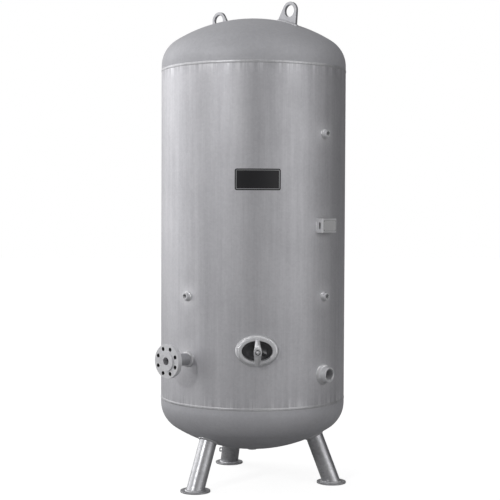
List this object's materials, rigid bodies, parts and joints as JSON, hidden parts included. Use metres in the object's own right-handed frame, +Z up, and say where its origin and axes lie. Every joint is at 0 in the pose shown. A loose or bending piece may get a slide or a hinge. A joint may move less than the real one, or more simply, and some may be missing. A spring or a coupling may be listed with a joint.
{
  "type": "air receiver tank",
  "caption": "Upright welded steel air receiver on splayed tube legs, with a flanged inlet, threaded sockets, lifting lugs and an oval handhole closed by a bolted bow.",
  "frame": {"origin": "centre of the anchor hole circle, on the vessel's axis at floor level", "axes": "+Z up along the vessel's axis, -Y towards the handhole, +X to the right of someone facing it"},
  "size_m": [0.9734, 1.0458, 2.4484],
  "materials": {
    "galvanised_sheet": "hot-dip galvanised, satin",
    "weld_bead": "galvanised weld bead",
    "galvanised_forging": "galvanised forging",
    "galvanised_tube": "galvanised tube, glossier",
    "cover_paint": "black, semi-gloss",
    "gasket_rubber": "matt",
    "zinc_fastener": "zinc plated",
    "nameplate_metal": "plain anodised",
    "rivet_metal": "bright",
    "label_film": "printed film"
  },
  "bodies": {
    "tank": {"shell": "galvanised_sheet", "top_head": "galvanised_sheet", "bottom_head": "galvanised_sheet", "top_girth_weld": "weld_bead", "bottom_girth_weld": "weld_bead", "longitudinal_weld": "weld_bead", "leg_left": "galvanised_tube", "leg_right": "galvanised_tube", "leg_rear": "galvanised_tube", "leg_weld_left": "weld_bead", "leg_weld_right": "weld_bead", "leg_weld_rear": "weld_bead", "foot_plate_left": "galvanised_tube", "foot_plate_right": "galvanised_tube", "foot_plate_rear": "galvanised_tube", "foot_weld_left": "weld_bead", "foot_weld_right": "weld_bead", "foot_weld_rear": "weld_bead", "earthing_lug": "galvanised_sheet", "lifting_lug_right": "galvanised_forging", "lifting_lug_left": "galvanised_forging", "lug_weld_right": "weld_bead", "lug_weld_left": "weld_bead", "inlet_pipe": "galvanised_forging", "inlet_flange": "galvanised_forging", "inlet_flange_weld": "weld_bead", "inlet_shell_weld": "weld_bead", "outlet_socket": "galvanised_forging", "outlet_weld": "weld_bead", "gauge_socket": "galvanised_forging", "gauge_weld": "weld_bead", "switch_socket": "galvanised_forging", "switch_weld": "weld_bead", "valve_socket": "galvanised_forging", "valve_weld": "weld_bead", "drain_socket": "galvanised_forging", "drain_weld": "weld_bead", "handhole_ring": "galvanised_forging", "handhole_weld": "weld_bead", "nameplate_bracket": "galvanised_sheet", "nameplate_bracket_weld": "weld_bead", "nameplate": "nameplate_metal", "nameplate_rivets": "rivet_metal", "front_label": "label_film"},
    "cover": {"handhole_cover": "cover_paint", "handhole_gasket": "gasket_rubber", "handhole_stud": "zinc_fastener"},
    "bow": {"handhole_bow": "galvanised_forging", "handhole_washer": "zinc_fastener"},
    "nut": {"handhole_nut": "zinc_fastener"}
  },
  "joints": [
    {"name": "cover_slide", "type": "slide", "parent": "tank", "child": "cover", "axis": [0, 1, 0], "range_m": [0, 0.02]},
    {"name": "nut_turn", "type": "hinge", "parent": "tank", "child": "nut", "pos_m": [0, -0.497, 0.72175], "axis": [0, -1, 0], "range_deg": [0, 3600]},
    {"name": "bow_swing", "type": "hinge", "parent": "tank", "child": "bow", "pos_m": [0, -0.497, 0.72175], "axis": [0, -1, 0], "range_deg": [-90, 90]}
  ],
  "couplings": [
    {"joint": "nut_turn", "follows": "cover_slide", "rad_per_m": 3141.6}
  ]
}
